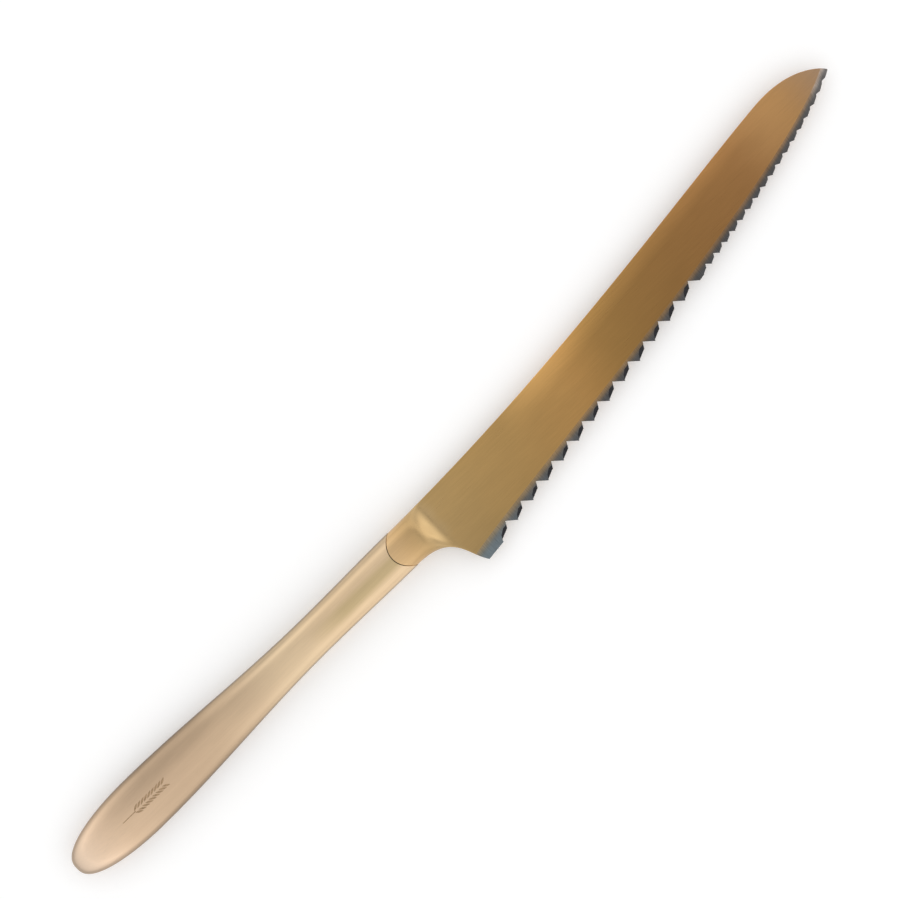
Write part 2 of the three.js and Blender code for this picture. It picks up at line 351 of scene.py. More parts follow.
def quarter_point(step, count, squareness):
    """One point on a quarter of a ring of half size 1, as a share across and a share up."""
    angle = 2 * math.pi * (step + 0.5) / count
    return math.cos(angle) ** (2 / squareness), math.sin(angle) ** (2 / squareness)


def square_up(piece, section, count, before, after):
    """Squares up the selected ring: each set of mirrored points is resized from the middle."""
    centre, width, thickness = section
    quarter = [quarter_point(step, count, before) for step in range(count // 4)]
    mesh = bmesh.from_edit_mesh(piece.data)
    ring = [vertex for vertex in mesh.verts if vertex.select]
    sets = [[] for _ in quarter]
    for vertex in ring:
        across = abs(vertex.co.y - centre.y) / width
        up = abs(vertex.co.z - centre.z) / thickness
        gaps = [(across - point[0]) ** 2 + (up - point[1]) ** 2 for point in quarter]
        sets[gaps.index(min(gaps))].append(vertex)
    for step, members in enumerate(sets):
        across, up = quarter_point(step, count, after)
        pick(mesh, members)
        factor = (1, across / quarter[step][0], up / quarter[step][1])
        bpy.ops.transform.resize(value=factor, center_override=centre)
    pick(mesh, ring)


def end_ring(name, section, count, squareness):
    """The filled ring that a form is drawn out of, upright across the knife and in edit mode."""
    centre, width, thickness = section
    deselect_everything()
    spin = math.pi / count
    bpy.ops.mesh.primitive_circle_add(
        vertices=count,
        radius=width,
        fill_type="NGON",
        location=centre,
        rotation=(math.pi / 2, spin, math.pi / 2),
    )
    ring = bpy.context.object
    ring.name = name
    apply_place(ring)
    begin_edit(ring)
    bpy.ops.mesh.select_all(action="SELECT")
    bpy.ops.transform.resize(value=(1, 1, thickness / width), center_override=centre)
    square_up(ring, section, count, 2, squareness)
    return ring


def draw_out(piece, sections, count=0, squareness=None):
    """Extrudes the selected end from section to section, squaring it up on the way."""
    form = squareness[0] if squareness else None
    for i in range(1, len(sections)):
        before, after = sections[i - 1], sections[i]
        bpy.ops.mesh.extrude_region_move(TRANSFORM_OT_translate={"value": after[0] - before[0]})
        factor = (1, after[1] / before[1], after[2] / before[2])
        bpy.ops.transform.resize(value=factor, center_override=after[0])
        if squareness and squareness[i] != form:
            square_up(piece, after, count, form, squareness[i])
            form = squareness[i]


def plate(name, plan, bottom, top):
    """A plate on a plan of points: a filled ring whose points are moved into place, extruded up."""
    deselect_everything()
    bpy.ops.mesh.primitive_circle_add(vertices=len(plan), radius=MM, fill_type="NGON")
    piece = bpy.context.object
    piece.name = name
    begin_edit(piece)
    mesh = bmesh.from_edit_mesh(piece.data)
    for vertex, (x, y) in zip(list(mesh.verts), plan):
        pick(mesh, [vertex])
        bpy.ops.transform.translate(value=Vector((x, y, bottom)) - vertex.co)
    bpy.ops.mesh.select_all(action="SELECT")
    bpy.ops.mesh.extrude_region_move(TRANSFORM_OT_translate={"value": (0, 0, top - bottom)})
    return piece


def placed_copy(tool, matrix):
    """A copy of a tool with its own mesh, put in its place."""
    copy = tool.copy()
    copy.data = tool.data.copy()
    bpy.context.collection.objects.link(copy)
    copy.data.transform(matrix)
    return copy


# ---- Finishes: colours and places ----

# grain of each finish: noise scale along, across and up
ALONG_THE_KNIFE = (120, 5200, 5200)
ACROSS_THE_EDGE = (5000, 260, 260)
HANDLE_CLOUDS = (18, 45, 45)
BLADE_CLOUDS = (22, 50, 50)
SMUDGES = (70, 120, 120)
PATCHES = (220, 220, 220)
GRIT = (900, 900, 900)
ETCHING = (1800, 1800, 1800)

# colours at distances from the butt, in millimetres; the handle's and the blade's runs also hold painted
# reflections: lighter and darker stretches where the coating mirrors its surroundings
HANDLE_TONES_AND_REFLECTIONS = (
    (0, (250, 226, 202)),
    (10, (244, 214, 184)),
    (22, (221, 192, 161)),
    (50, (212, 183, 152)),
    (74, (219, 192, 159)),
    (90, (232, 207, 171)),
    (108, (232, 203, 165)),
    (138, (236, 208, 170)),
)
BLADE_TONES_AND_REFLECTIONS = (
    (128, (222, 190, 145)),
    (136, (212, 176, 128)),
    (143, (186, 155, 107)),
    # a paler stop where the bolster's hollow runs out: a painted highlight
    (147, (192, 165, 122)),
    (152, (180, 149, 98)),
    (185, (179, 143, 89)),
    (207, (190, 146, 88)),
    (216, (178, 136, 80)),
    (225, (164, 126, 73)),
    (240, (153, 116, 67)),
    (262, (156, 115, 68)),
    (284, (164, 120, 73)),
    (294, (166, 122, 76)),
    (308, (196, 150, 98)),
    (318, (184, 140, 90)),
    (330, (176, 148, 124)),
)
EDGE_TONES = (
    (150, (112, 122, 127)),
    (160, (104, 113, 118)),
    (172, (84, 86, 88)),
    (250, (78, 77, 78)),
    (318, (76, 75, 74)),
    (330, (120, 116, 114)),
)
COATING_TONES = (
    (150, (118, 118, 108)),
    (172, (116, 104, 88)),
    (250, (110, 92, 72)),
    (300, (100, 88, 76)),
    (316, (112, 98, 84)),
    (322, (150, 140, 130)),
    (330, (204, 192, 184)),
)
TONE_WANDER = 0.012
# the neck's crest is blended to this colour as a painted reflection: the darker band that the crest
# mirrors
CREST_REFLECTION_TONE = (209, 185, 142)
# near-black: painted shade standing in for the dark reflection of the scallops' facets
SCALLOP_SHADE_TONE = (46, 46, 49)
ETCHED_TONE = (186, 158, 126)
CEMENT_TONE = (120, 112, 100)

# how dark or light a place gets, as a factor on its colour: painted shade on the handle, and painted
# shade and a painted highlight on the blade; the feather's share is how far the coating runs into the
# bevel
WELD_SHADE = 0.48
FAR_FLANK_SHADE = 0.68
NEAR_FLANK_SHADE = 0.8
RIM_SHADE = 0.74
SPINE_HIGHLIGHT = 1.5
BLADE_SIDE_SHADES = (0.9, 1.12)
FEATHER_SHARE = 0.4

# where each of them sets in and is complete, in millimetres along, across or up
GRIP_SETS_IN = (8, 34)
GRIP_FADES = (56, 80)
PAST_GRIP = (62, 84)
NECK = (98, 112)
HIGHLIGHT_SETS_IN = (184, 202)
HIGHLIGHT_FADES = (286, 304)
FAR_FLANK = (0.5, 6.5)
NEAR_FLANK = (-3, -7)
FAR_RIM = (4.2, 5.4)
CREST_AT = -0.9
CREST_REACH = (1, 3)
WELD_REACH = (1.4, 2.6)
STAIN = (-0.1, 0.9)
FEATHER = (0.3, 1)

# the line that leans with the blade, and distances from it
BLADE_LEAN = 0.133
BLADE_LEVEL = spot(0, -6, 0).y - BLADE_LEAN * spot(160, 0, 0).x
BLADE_SIDES_FROM_LINE = (-12, 10)
SPINE_FROM_LINE = (3, 10)

# surface of the metals and the cement
ANISOTROPY = 0.35
STROKE_DEPTH = 0.02
STROKE_ROUGHNESS = (-0.05, 0.06)
SMUDGE_ROUGHNESS = (-0.04, 0.04)
GRIT_DEPTH = 0.1


# ---- Finishes: helpers ----


def srgb(red, green, blue):
    """A colour as it is read off a swatch, turned to the linear values that the shader takes."""
    def linear(value):
        value = value / 255
        return value / 12.92 if value <= 0.04045 else ((value + 0.055) / 1.055) ** 2.4
    return (linear(red), linear(green), linear(blue), 1)


def new_material(name):
    """A material with its nodes, its links, its shader and its Object coordinates."""
    material = bpy.data.materials.new(name)
    material.use_nodes = True
    nodes = material.node_tree.nodes
    coords = nodes.new("ShaderNodeTexCoord").outputs["Object"]
    return material, nodes, material.node_tree.links, nodes["Principled BSDF"], coords


def feed(links, value, socket):
    """Gives a socket its value: a plain number or colour, or what another node puts out."""
    if isinstance(value, (int, float, tuple)):
        socket.default_value = value
    else:
        links.new(value, socket)


def grain(nodes, links, coords, stretch, detail):
    """Noise drawn out along the stroke of the brush or the wheel."""
    mapping = nodes.new("ShaderNodeMapping")
    mapping.inputs["Scale"].default_value = stretch
    links.new(coords, mapping.inputs["Vector"])
    noise = nodes.new("ShaderNodeTexNoise")
    noise.inputs["Scale"].default_value = 1
    noise.inputs["Detail"].default_value = detail
    noise.inputs["Roughness"].default_value = 0.6
    links.new(mapping.outputs["Vector"], noise.inputs["Vector"])
    return noise.outputs["Fac"]


def remap(nodes, links, value, low, high, from_low=0.3, from_high=0.7):
    """Goes from low to high while a value crosses a range, which by default is that of the grain."""
    node = nodes.new("ShaderNodeMapRange")
    node.inputs["From Min"].default_value = from_low
    node.inputs["From Max"].default_value = from_high
    node.inputs["To Min"].default_value = low
    node.inputs["To Max"].default_value = high
    links.new(value, node.inputs["Value"])
    return node.outputs["Result"]


def combine(nodes, links, operation, first, second):
    """One value out of two."""
    node = nodes.new("ShaderNodeMath")
    node.operation = operation
    feed(links, first, node.inputs[0])
    feed(links, second, node.inputs[1])
    return node.outputs["Value"]


def product(nodes, links, first, second):
    return combine(nodes, links, "MULTIPLY", first, second)


def axis_of(nodes, links, coords, axis):
    split = nodes.new("ShaderNodeSeparateXYZ")
    links.new(coords, split.inputs["Vector"])
    return split.outputs[axis]


def fade(nodes, links, coords, axis, places, low=0, high=1):
    """Goes from low to high between two places on an axis, in millimetres as spot takes them."""
    start, end = [spot(place, place, place)["XYZ".index(axis)] for place in places]
    return remap(nodes, links, axis_of(nodes, links, coords, axis), low, high, start, end)


def distance_from(nodes, links, coords, axis, place):
    offset = combine(nodes, links, "SUBTRACT", axis_of(nodes, links, coords, axis), place)
    return combine(nodes, links, "ABSOLUTE", offset, 0)


def factor_where(nodes, links, first, second, factor):
    """1, and the given factor where two fades are both complete."""
    return remap(nodes, links, product(nodes, links, first, second), 1, factor, 0, 1)


def mix_colours(nodes, links, first, second, share):
    """The node that goes part of the way from one colour to another."""
    node = nodes.new("ShaderNodeMix")
    node.data_type = "RGBA"
    feed(links, share, node.inputs["Factor"])
    feed(links, first, node.inputs["A"])
    feed(links, second, node.inputs["B"])
    return node


def blend(nodes, links, first, second, share):
    return mix_colours(nodes, links, first, second, share).outputs["Result"]


def tinted(nodes, links, colour, factor):
    """A colour made lighter or darker by a factor."""
    node = mix_colours(nodes, links, colour, factor, 1)
    node.blend_type = "MULTIPLY"
    return node.outputs["Result"]


def colours_along(nodes, links, coords, wander, stops):
    """A soft run of colours along the knife, each given at a distance from the butt."""
    low, high = stops[0][0], stops[-1][0]
    share = fade(nodes, links, coords, "X", (low, high))
    strayed = remap(nodes, links, wander, -TONE_WANDER, TONE_WANDER)
    ramp = nodes.new("ShaderNodeValToRGB")
    ramp.color_ramp.interpolation = "B_SPLINE"
    elements = ramp.color_ramp.elements
    while len(elements) < len(stops):
        elements.new(1)
    for element, (place, colour) in zip(elements, stops):
        element.position = (place - low) / (high - low)
        element.color = srgb(*colour)
    links.new(combine(nodes, links, "ADD", share, strayed), ramp.inputs["Fac"])
    return ramp.outputs["Color"]


def add_bump(nodes, links, shader, height, strength, distance):
    bump = nodes.new("ShaderNodeBump")
    bump.inputs["Strength"].default_value = strength
    bump.inputs["Distance"].default_value = distance * MM
    links.new(height, bump.inputs["Height"])
    links.new(bump.outputs["Normal"], shader.inputs["Normal"])


def finish_metal(nodes, links, shader, colour, strokes, smudges, roughness, bump):
    """Metal with its strokes in colour, roughness and bump, and faint handling marks."""
    links.new(colour, shader.inputs["Base Color"])
    shader.inputs["Metallic"].default_value = 1
    shader.inputs["Anisotropic"].default_value = ANISOTROPY
    low, high = [roughness + change for change in STROKE_ROUGHNESS]
    brushed = remap(nodes, links, strokes, low, high)
    wear_and_shade = remap(nodes, links, smudges, *SMUDGE_ROUGHNESS)
    links.new(combine(nodes, links, "ADD", brushed, wear_and_shade), shader.inputs["Roughness"])
    add_bump(nodes, links, shader, strokes, bump, STROKE_DEPTH)


# ---- Finishes ----


def handle_painted_shade(nodes, links, coords):
    """Painted shade on the handle: darker along the weld, on both flanks of the grip and on its far rim,
    where the curved sides mirror dark surroundings.
    """
    from_weld = distance_from(nodes, links, coords, "Z", MIDDLE_Z)
    weld_start, weld_end = WELD_REACH
    weld = remap(nodes, links, from_weld, WELD_SHADE, 1, weld_start * MM, weld_end * MM)
    grip_start = fade(nodes, links, coords, "X", GRIP_SETS_IN)
    grip_end = fade(nodes, links, coords, "X", GRIP_FADES, 1, 0)
    grip = product(nodes, links, grip_start, grip_end)
    far_flank = fade(nodes, links, coords, "Y", FAR_FLANK)
    near_flank = fade(nodes, links, coords, "Y", NEAR_FLANK)
    far_rim = fade(nodes, links, coords, "Y", FAR_RIM)
    past_grip = fade(nodes, links, coords, "X", PAST_GRIP)
    far_flank_shading = factor_where(nodes, links, far_flank, grip, FAR_FLANK_SHADE)
    wear_and_shade = factor_where(nodes, links, near_flank, grip, NEAR_FLANK_SHADE)
    rim = factor_where(nodes, links, far_rim, past_grip, RIM_SHADE)
    sides = product(nodes, links, wear_and_shade, rim)
    return product(nodes, links, weld, product(nodes, links, far_flank_shading, sides))


def champagne_satin():
    """Champagne coated steel, brushed along its length, with painted reflections along it, painted shade
    on its weld, flanks and far rim, and a painted reflection on its neck's crest.
    """
    material, nodes, links, shader, coords = new_material("champagne_satin")
    strokes = grain(nodes, links, coords, ALONG_THE_KNIFE, detail=6)
    clouds = grain(nodes, links, coords, HANDLE_CLOUDS, detail=3)
    smudges = grain(nodes, links, coords, SMUDGES, detail=2)
    tone = colours_along(nodes, links, coords, clouds, HANDLE_TONES_AND_REFLECTIONS)
    from_crest = distance_from(nodes, links, coords, "Y", spot(0, CREST_AT, 0).y)
    crest_start, crest_end = CREST_REACH
    crest = remap(nodes, links, from_crest, 1, 0, crest_start * MM, crest_end * MM)
    neck = fade(nodes, links, coords, "X", NECK)
    with_crest_reflection = blend(nodes, links, tone, srgb(*CREST_REFLECTION_TONE), product(nodes, links, crest, neck))
    soft = tinted(nodes, links, with_crest_reflection, handle_painted_shade(nodes, links, coords))
    cloudy = tinted(nodes, links, soft, remap(nodes, links, clouds, low=0.96, high=1.03))
    final = tinted(nodes, links, cloudy, remap(nodes, links, strokes, low=0.95, high=1.04))
    finish_metal(nodes, links, shader, final, strokes, smudges, roughness=0.36, bump=0.25)
    return material


def blade_painted_light(nodes, links, coords):
    """Painted shade and painted highlight on the blade: darker towards the edge and lighter towards the
    spine, with a painted highlight along the spine in its middle stretch.
    """
    across = axis_of(nodes, links, coords, "Y")
    lean = product(nodes, links, axis_of(nodes, links, coords, "X"), -BLADE_LEAN)
    level = combine(nodes, links, "ADD", across, lean)
    edge, spine = [BLADE_LEVEL + place * MM for place in BLADE_SIDES_FROM_LINE]
    side = remap(nodes, links, level, *BLADE_SIDE_SHADES, edge, spine)
    start, end = [BLADE_LEVEL + place * MM for place in SPINE_FROM_LINE]
    near_spine = remap(nodes, links, level, 0, 1, start, end)
    forward = fade(nodes, links, coords, "X", HIGHLIGHT_SETS_IN)
    behind_point = fade(nodes, links, coords, "X", HIGHLIGHT_FADES, 1, 0)
    stretch = product(nodes, links, forward, behind_point)
    spine_highlight = factor_where(nodes, links, near_spine, stretch, SPINE_HIGHLIGHT)
    return product(nodes, links, side, spine_highlight)


def gold_satin():
    """Gold coated steel, brushed along the blade, in tones that shift softly along and across it, which
    hold painted reflections, painted shade towards the edge and a painted highlight along the spine.
    """
    material, nodes, links, shader, coords = new_material("gold_satin")
    strokes = grain(nodes, links, coords, ALONG_THE_KNIFE, detail=6)
    clouds = grain(nodes, links, coords, BLADE_CLOUDS, detail=3)
    smudges = grain(nodes, links, coords, SMUDGES, detail=2)
    tone = colours_along(nodes, links, coords, clouds, BLADE_TONES_AND_REFLECTIONS)
    soft = tinted(nodes, links, tone, blade_painted_light(nodes, links, coords))
    cloudy = tinted(nodes, links, soft, remap(nodes, links, clouds, low=0.94, high=1.05))
    final = tinted(nodes, links, cloudy, remap(nodes, links, strokes, low=0.93, high=1.05))
    finish_metal(nodes, links, shader, final, strokes, smudges, roughness=0.34, bump=0.25)
    return material


def ground_steel():
    """Bare steel off the wheel, dark at the edge and stained towards the coating, which fades into it."""
    material, nodes, links, shader, coords = new_material("ground_steel")
    lines = grain(nodes, links, coords, ACROSS_THE_EDGE, detail=4)
    patches = grain(nodes, links, coords, PATCHES, detail=2)
    edge = colours_along(nodes, links, coords, patches, EDGE_TONES)
    coating = colours_along(nodes, links, coords, patches, COATING_TONES)
    gold_left = colours_along(nodes, links, coords, patches, BLADE_TONES_AND_REFLECTIONS)
    stained = blend(nodes, links, edge, coating, fade(nodes, links, coords, "Z", STAIN))
    feather = fade(nodes, links, coords, "Z", FEATHER, 0, FEATHER_SHARE)
    tone = blend(nodes, links, stained, gold_left, feather)
    shade = tinted(nodes, links, tone, remap(nodes, links, lines, low=0.78, high=1.2))
    final = tinted(nodes, links, shade, remap(nodes, links, patches, low=0.88, high=1.1))
    finish_metal(nodes, links, shader, final, lines, patches, roughness=0.36, bump=0.5)
    return material


def plain_steel(name, colour, roughness, scale):
    """Steel as a small wheel or graver leaves it, in one colour; for the scallops that colour is painted
    shade.
    """
    material, nodes, links, shader, coords = new_material(name)
    lines = grain(nodes, links, coords, scale, detail=4)
    patches = grain(nodes, links, coords, PATCHES, detail=2)
    shade = tinted(nodes, links, srgb(*colour), remap(nodes, links, lines, low=0.75, high=1.2))
    finish_metal(nodes, links, shader, shade, lines, patches, roughness, bump=0.5)
    return material


def dry_cement():
    """Grey cement, gritty and matt."""
    material, nodes, links, shader, coords = new_material("dry_cement")
    grit = grain(nodes, links, coords, GRIT, detail=5)
    colour = tinted(nodes, links, srgb(*CEMENT_TONE), remap(nodes, links, grit, low=0.7, high=1.1))
    links.new(colour, shader.inputs["Base Color"])
    shader.inputs["Roughness"].default_value = 0.9
    add_bump(nodes, links, shader, grit, 0.5, GRIT_DEPTH)
    return material


champagne = champagne_satin()
gold = gold_satin()
ground = ground_steel()
# the scallops' near-black colour is painted shade, standing in for the dark reflection of their facets
scallop = plain_steel("scallop_painted_shade", SCALLOP_SHADE_TONE, 0.4, ACROSS_THE_EDGE)
etched = plain_steel("etched_mark", ETCHED_TONE, 0.55, ETCHING)
cement = dry_cement()


# ---- Handle ----


def handle_half(x, butt, neck, mouth):
    """Half of a size of the handle: rounded at the butt, eased to the neck and on to the mouth."""
    if x < BUTT_WIDEST_AT:
        return butt / 2 * (1 - (1 - x / BUTT_WIDEST_AT) ** 2) ** (1 / BUTT_FULLNESS)
    if x < NECK_AT:
        share = (x - BUTT_WIDEST_AT) / (NECK_AT - BUTT_WIDEST_AT)
        return mix(butt / 2, neck / 2, ease(share))
    return mix(neck / 2, mouth / 2, ease((x - NECK_AT) / (HANDLE_LENGTH - NECK_AT)))


def half_width(x):
    return handle_half(x, BUTT_WIDTH, NECK_WIDTH, MOUTH_WIDTH)


def half_thickness(x):
    return handle_half(x, BUTT_THICKNESS, NECK_THICKNESS, MOUTH_THICKNESS)


def handle_sections():
    """The handle's sections from the butt to past the mouth, close together round the butt."""
    end = HANDLE_LENGTH + NOSE_DEPTH
    places = [mix(BUTT_START, end, (i / HANDLE_STEPS) ** BUTT_CROWDING) for i in range(HANDLE_STEPS + 1)]
    return [(spot(x, 0, 0), half_width(x) * MM, half_thickness(x) * MM) for x in places]


def nose_plan(setback, far):
    """Outline of the room that the bolster's rounded nose takes, from the nose forwards."""
    mouth = HANDLE_LENGTH - setback
    nose = mouth - NOSE_DEPTH
    half = MOUTH_WIDTH / 2
    upper = []
    for i in range(NOSE_STEPS + 1):
        share = i / NOSE_STEPS
        rest = 1 - share
        x = rest**2 * mouth + (1 - rest**2) * nose
        y = rest**2 * half + 2 * rest * share * MOUTH_WIDTH * NOSE_BLUNTNESS
        upper.append((x, y))
    lower = [(x, -y) for x, y in reversed(upper[:-1])]
    beyond = [(mouth, -far), (mouth + far, -far), (mouth + far, far), (mouth, far)]
    return [tuple(spot(x, y, 0).xy) for x, y in upper + lower + beyond]


def nose_tool(name, setback, far, finish):
    low, high = spot(0, 0, -MOUTH_THICKNESS).z, spot(0, 0, MOUTH_THICKNESS).z
    tool = plate(name, nose_plan(setback, far), low, high)
    end_edit()
    tool.data.materials.append(finish)
    fair(tool)
    return tool


def delete_faces(piece, wanted):
    """Deletes the faces that the test picks out."""
    begin_edit(piece)
    bpy.ops.mesh.select_mode(type="FACE")
    bpy.ops.mesh.select_all(action="DESELECT")
    mesh = bmesh.from_edit_mesh(piece.data)
    for face in mesh.faces:
        if wanted(face):
            face.select_set(True)
    bpy.ops.mesh.delete(type="FACE")
    end_edit()


def half_shell(form, name, side):
    """One half of the hollow handle: the form split at the weld, given its wall and softened rims."""
    shell = placed_copy(form, Matrix.Identity(4))
    shell.name = name
    begin_edit(shell)
    bpy.ops.mesh.select_all(action="SELECT")
    bpy.ops.mesh.bisect(
        plane_co=spot(0, 0, side * WELD_GAP / 2),
        plane_no=(0, 0, -side),
        clear_outer=True,
        threshold=DOUBLES * MM,
    )
    end_edit()
    fair(shell, SHORT_EDGE)
    wall = shell.modifiers.new("wall", "SOLIDIFY")
    wall.thickness = SHELL_WALL * MM
    wall.offset = -1
    apply_modifiers(shell)
    fair(shell, SHORT_EDGE)
    round_rims(shell)
    fair(shell, SLIVER)
    return shell


def grain_tool():
    """The cutter of one engraved grain: a pointed oval about the origin."""
    half = GRAIN_LENGTH / 2
    points = []
    for side in (1, -1):
        for i in range(GRAIN_STEPS):
            share = i / GRAIN_STEPS
            along = side * mix(-half, half, share)
            across = side * GRAIN_WIDTH / 2 * math.sin(math.pi * share)
            points.append((along * MM, across * MM))
    tool = plate("grain_cutter", points, -EAR_DEPTH * MM, MM)
    end_edit()
    fair(tool)
    return tool


def ear_cutters():
    """The stem and its pairs of grains, which lean away from it towards the ear's end."""
    surface = half_thickness(EAR_AT)
    start = EAR_AT - (STEM_LENGTH + EAR_LENGTH) / 2
    deselect_everything()
    bpy.ops.mesh.primitive_cube_add(
        size=MM,
        location=spot(start + STEM_LENGTH / 2, 0, surface + 1 - EAR_DEPTH),
        scale=(STEM_LENGTH, STEM_WIDTH, 2),
    )
    stem = bpy.context.object
    apply_place(stem)
    tools = [stem]
    pattern = grain_tool()
    pitch = EAR_LENGTH / EAR_GRAINS
    for row in range(EAR_GRAINS):
        for side in (-1, 1):
            place = spot(start + STEM_LENGTH + (row + 0.5) * pitch, side * GRAIN_OFFSET, surface)
            turn = Matrix.Rotation(side * GRAIN_LEAN, 4, "Z")
            tools.append(placed_copy(pattern, Matrix.Translation(place) @ turn))
    bpy.data.objects.remove(pattern)
    ear = join(tools)
    ear.data.materials.append(etched)
    return ear


def make_handle():
    """Both half shells, out of one form; the right one carries the engraved ear."""
    sections = handle_sections()
    form = end_ring("handle_form", sections[0], HANDLE_SIDES, SECTION_SQUARENESS)
    draw_out(form, sections)
    end_edit()
    form.data.materials.append(champagne)
    fair(form)
    cut(form, nose_tool("nose_cutter", NOSE_GAP, MOUTH_WIDTH, etched))
    mouth_finish = form.data.materials.find(etched.name)
    delete_faces(form, lambda face: face.material_index == mouth_finish)
    form.data.materials.pop(index=mouth_finish)
    for name, node, side in (
        ("handle_right_half", "handle_shell_right", 1),
        ("handle_left_half", "handle_shell_left", -1),
    ):
        shell = half_shell(form, name, side)
        if side == 1:
            cut(shell, ear_cutters())
        fair(shell, SLIVER)
        drop_spare_points(shell)
        smooth(shell, HANDLE_CREASE)
        hand_over(shell, node)
    bpy.data.objects.remove(form)


# ---- Blade ----

ROOT = HANDLE_LENGTH
TIP = (ROOT + BLADE_LENGTH, TIP_HEIGHT)
SPINE_ROOT = (ROOT, MOUTH_WIDTH / 2 - BOLSTER_OVERHANG)
SPINE_END = (TIP[0] - TIP_ROUND_LENGTH, SPINE_ROOT[1] + SPINE_RISE)
HEEL = (ROOT + HEEL_SETBACK, -HEEL_DROP)
LAND_END = HEEL[0] + HEEL_LAND
CHOIL_START = (ROOT, BOLSTER_OVERHANG - MOUTH_WIDTH / 2)

SPINE = pulled_curve(SPINE_ROOT, SPINE_END, SPINE_PULL)
ROUND = pulled_curve(SPINE_END, TIP, TIP_PULL)
EDGE = pulled_curve(HEEL, TIP, EDGE_PULL)
CHOIL = pulled_curve(CHOIL_START, HEEL, (CHOIL_PULL[1], CHOIL_PULL[0]))


def spine_height(x):
    if x <= ROOT:
        return SPINE_ROOT[1]
    return height_on(SPINE, x) if x < SPINE_END[0] else height_on(ROUND, x)


def lower_height(x):
    if x <= ROOT:
        return CHOIL_START[1]
    if x < HEEL[0]:
        return height_on(CHOIL, x)
    if x <= LAND_END:
        return HEEL[1] + HEEL_LAND_RISE * (x - HEEL[0]) / HEEL_LAND
    return height_on(EDGE, x)


def blade_section(x):
    upper, lower = spine_height(x), lower_height(x)
    sink = ease((x - ROOT - BOLSTER_FLAT) / (BOLSTER_LENGTH - BOLSTER_FLAT))
    thickness = mix(MOUTH_THICKNESS / 2, BLADE_THICKNESS / 2, sink)
    return spot(x, (upper + lower) / 2, 0), (upper - lower) / 2 * MM, thickness * MM


def blade_squareness(x):
    share = clamp((x - ROOT - BOLSTER_CROWN) / (BOLSTER_LENGTH + 1 - BOLSTER_CROWN))
    return SECTION_SQUARENESS * (BLADE_SQUARENESS / SECTION_SQUARENESS) ** share


def blade_stations():
    """Where the blade's sections stand: close together round the bolster, the choil and the point."""
    start = ROOT - NOSE_DEPTH - 1
    stations = [start, ROOT - BOLSTER_BACK]
    stations += [mix(ROOT, HEEL[0] - CORNER, i / CHOIL_STEPS) for i in range(CHOIL_STEPS + 1)]
    stations += [HEEL[0], mix(HEEL[0], LAND_END, 0.5), LAND_END, LAND_END + CORNER]
    stations += [mix(LAND_END, SPINE_END[0], i / BLADE_STEPS) for i in range(1, BLADE_STEPS + 1)]
    for i in range(1, TIP_STEPS + 1):
        share = math.sin(math.pi / 2 * i / TIP_STEPS)
        stations.append(mix(SPINE_END[0], TIP[0] - TIP_BLUNTNESS, share))
    return stations


def bevel_cutter():
    """The path of the wheel along the edge: a long bar whose underside is the ground bevel."""
    middle, half = (WHEEL_ABOVE - WHEEL_BELOW) / 2, (WHEEL_ABOVE + WHEEL_BELOW) / 2
    sections = []
    for i in range(BEVEL_STEPS + 1):
        x = mix(HEEL[0] - HEEL_SETBACK / 2, TIP[0] + BEVEL_OVERRUN, i / BEVEL_STEPS)
        on_blade = clamp(x, HEEL[0], TIP[0])
        base = height_on(EDGE, on_blade) + (x - on_blade) * WHEEL_RISE
        reach = mix(BEVEL_AT_HEEL, BEVEL_AT_TIP, (on_blade - HEEL[0]) / (TIP[0] - HEEL[0]))
        place = spot(x, base + reach * middle, 0)
        sections.append((place, reach * half * MM, BLADE_THICKNESS * MM))
    centre, width, thickness = sections[0]
    deselect_everything()
    bpy.ops.mesh.primitive_plane_add(size=2, location=centre, rotation=(math.pi / 2, 0, math.pi / 2))
    bar = bpy.context.object
    bar.name = "bevel_cutter"
    apply_place(bar)
    begin_edit(bar)
    bpy.ops.mesh.select_all(action="SELECT")
    bpy.ops.transform.resize(value=(1, width, thickness), center_override=centre)
    mesh = bmesh.from_edit_mesh(bar.data)
    corners = list(mesh.verts)
    thin = EDGE_THICKNESS - BLADE_THICKNESS / 2
    rise = BLADE_THICKNESS / 2 - thin
    for side, share in ((-1, -WHEEL_BELOW), (1, WHEEL_ABOVE)):
        under = [v for v in corners if (v.co.y - centre.y) * side > 0 and v.co.z < centre.z]
        pick(mesh, under)
        height = spot(0, 0, thin + rise * share).z
        bpy.ops.transform.translate(value=(0, 0, height - under[0].co.z))
    bpy.ops.mesh.select_all(action="SELECT")
    draw_out(bar, sections)
    end_edit()
    bar.data.materials.append(ground)
    fair(bar)
    return bar


def teeth():
    """Each notch in turn from the heel: where its gullet is, how long it is and how deep."""
    first = LAND_END + HEEL_RAMP
    last = TIP[0] - LAST_TOOTH_TO_TIP
    change = first + LARGE_TEETH * LARGE_TOOTH_PITCH
    fine_teeth = round((last - change) / FINE_TOOTH_PITCH)
    fine_pitch = (last - change) / fine_teeth
    row = [(first, HEEL_RAMP / (1 - POINT_AT), LARGE_TOOTH_DEPTH)]
    for i in range(1, LARGE_TEETH):
        row.append((first + i * LARGE_TOOTH_PITCH, LARGE_TOOTH_PITCH, LARGE_TOOTH_DEPTH))
    for i in range(fine_teeth + 1):
        depth = mix(FINE_TOOTH_DEPTH, LAST_TOOTH_DEPTH, i / fine_teeth)
        row.append((change + i * fine_pitch, fine_pitch, depth))
    return row


